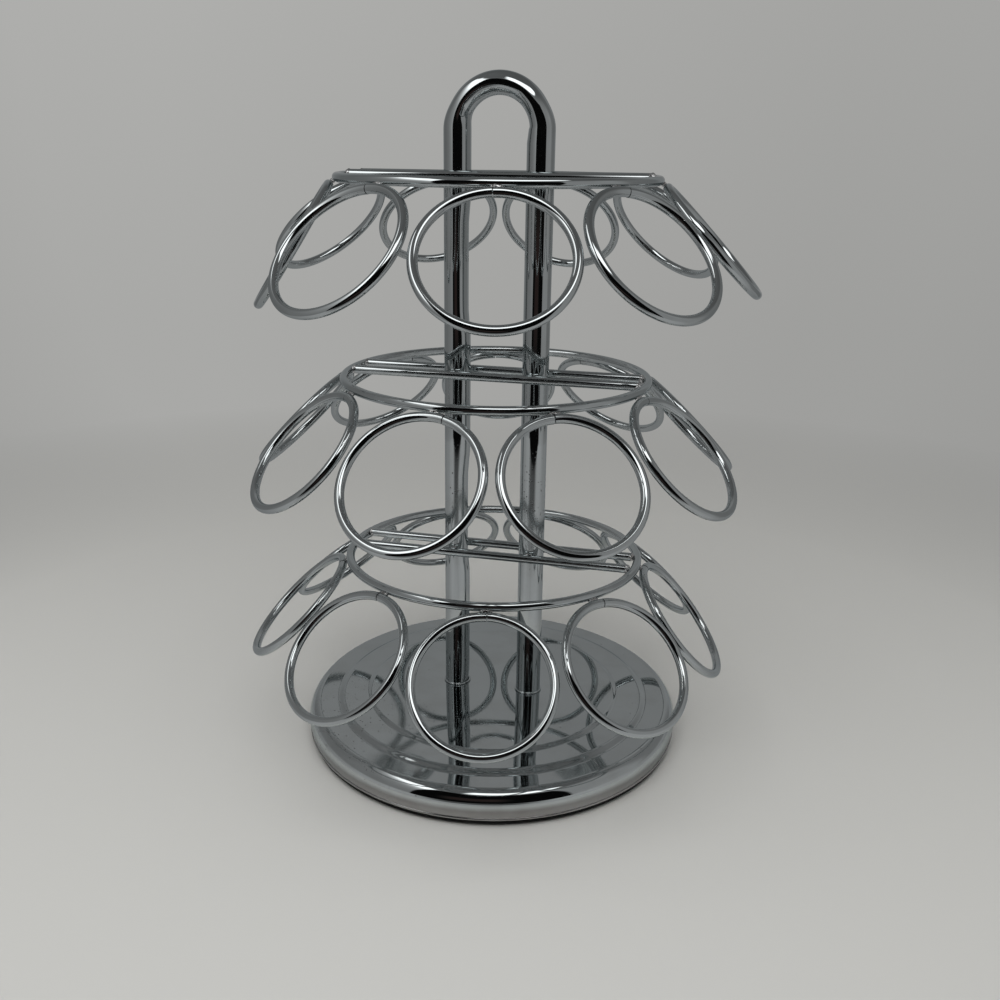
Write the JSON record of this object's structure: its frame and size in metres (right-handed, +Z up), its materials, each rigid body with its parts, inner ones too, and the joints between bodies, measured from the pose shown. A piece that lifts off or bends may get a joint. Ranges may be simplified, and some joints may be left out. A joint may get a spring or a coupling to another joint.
{
  "type": "coffee pod carousel",
  "caption": "Revolving tiered holder for coffee pods: wire loops hang out and down from wire rings on a U-shaped tube handle, over a round base.",
  "frame": {"origin": "on the surface the pads stand on, on the axis that the carousel turns about", "axes": "+Z up along the turning axis, X through both posts, -Y towards the front"},
  "size_m": [0.1994, 0.1994, 0.267],
  "materials": {
    "chrome": "bright chrome plate, mirror polished",
    "plain_steel": "plain rolled steel, lightly oiled",
    "zinc_steel": "zinc plated steel, satin",
    "ball_steel": "ground bearing steel",
    "black_plastic": "moulded black plastic, fine grain",
    "cage_plastic": "natural nylon",
    "pad_rubber": "matt black rubber"
  },
  "bodies": {
    "base": {"base_plate": "black_plastic", "lower_race": "zinc_steel", "foot_pad_1": "pad_rubber", "foot_pad_2": "pad_rubber", "foot_pad_3": "pad_rubber", "foot_pad_4": "pad_rubber"},
    "carousel": {"tier_ring_bottom": "chrome", "cross_wire_bottom_back": "chrome", "cross_wire_bottom_front": "chrome", "pod_loop_bottom_1": "chrome", "pod_loop_bottom_2": "chrome", "pod_loop_bottom_3": "chrome", "pod_loop_bottom_4": "chrome", "pod_loop_bottom_5": "chrome", "pod_loop_bottom_6": "chrome", "pod_loop_bottom_7": "chrome", "pod_loop_bottom_8": "chrome", "pod_loop_bottom_9": "chrome", "tier_ring_middle": "chrome", "cross_wire_middle_back": "chrome", "cross_wire_middle_front": "chrome", "pod_loop_middle_1": "chrome", "pod_loop_middle_2": "chrome", "pod_loop_middle_3": "chrome", "pod_loop_middle_4": "chrome", "pod_loop_middle_5": "chrome", "pod_loop_middle_6": "chrome", "pod_loop_middle_7": "chrome", "pod_loop_middle_8": "chrome", "pod_loop_middle_9": "chrome", "tier_ring_top": "chrome", "cross_wire_top_back": "chrome", "cross_wire_top_front": "chrome", "pod_loop_top_1": "chrome", "pod_loop_top_2": "chrome", "pod_loop_top_3": "chrome", "pod_loop_top_4": "chrome", "pod_loop_top_5": "chrome", "pod_loop_top_6": "chrome", "pod_loop_top_7": "chrome", "pod_loop_top_8": "chrome", "pod_loop_top_9": "chrome", "post_handle": "chrome", "post_insert_left": "zinc_steel", "post_screw_left": "zinc_steel", "post_insert_right": "zinc_steel", "post_screw_right": "zinc_steel", "base_cover": "chrome", "spacer_plate": "plain_steel", "turntable_plate": "plain_steel", "upper_race": "zinc_steel", "pivot_pin": "zinc_steel", "pivot_clip": "plain_steel"},
    "ball_cage": {"ball_cage": "cage_plastic", "ball_1": "ball_steel", "ball_2": "ball_steel", "ball_3": "ball_steel", "ball_4": "ball_steel", "ball_5": "ball_steel", "ball_6": "ball_steel"}
  },
  "joints": [
    {"name": "carousel_spin", "type": "hinge", "parent": "base", "child": "carousel", "pos_m": [0, 0, 0.0077], "axis": [0, 0, 1], "continuous": true},
    {"name": "cage_spin", "type": "hinge", "parent": "base", "child": "ball_cage", "pos_m": [0, 0, 0.0077], "axis": [0, 0, 1], "continuous": true}
  ],
  "couplings": [
    {"joint": "cage_spin", "follows": "carousel_spin", "ratio": 0.5}
  ]
}
